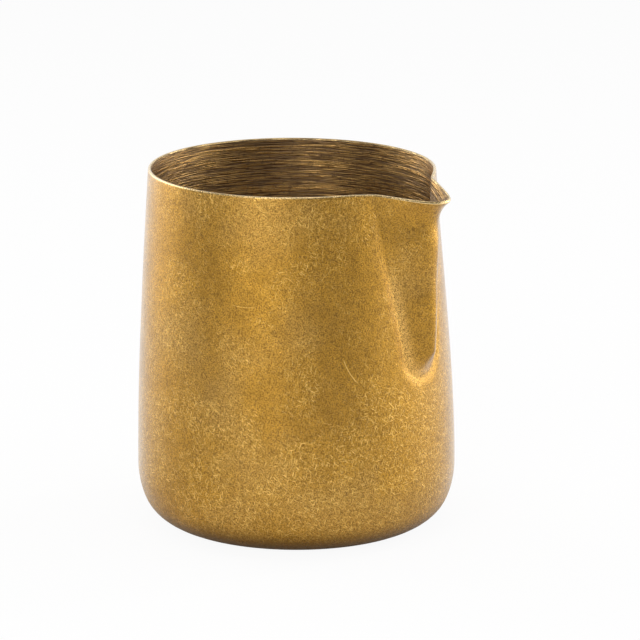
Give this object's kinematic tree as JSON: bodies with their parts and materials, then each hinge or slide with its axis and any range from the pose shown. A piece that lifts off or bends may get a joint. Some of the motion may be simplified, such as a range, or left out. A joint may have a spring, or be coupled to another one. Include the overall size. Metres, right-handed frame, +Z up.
{
  "type": "milk jug",
  "caption": "Handle-less milk frothing jug in aged brass sheet: a spun cup with a rounded corner, a slightly narrower mouth and a spout pressed from its own wall.",
  "frame": {"origin": "middle of the flat underside, on the axis of the spun cup", "axes": "+Z up along the axis of the cup, +X towards the spout"},
  "size_m": [0.0852, 0.08, 0.09],
  "materials": {
    "aged_brass": "aged, finely scratched, satin"
  },
  "bodies": {
    "root": {"jug_body": "aged_brass"}
  },
  "joints": []
}
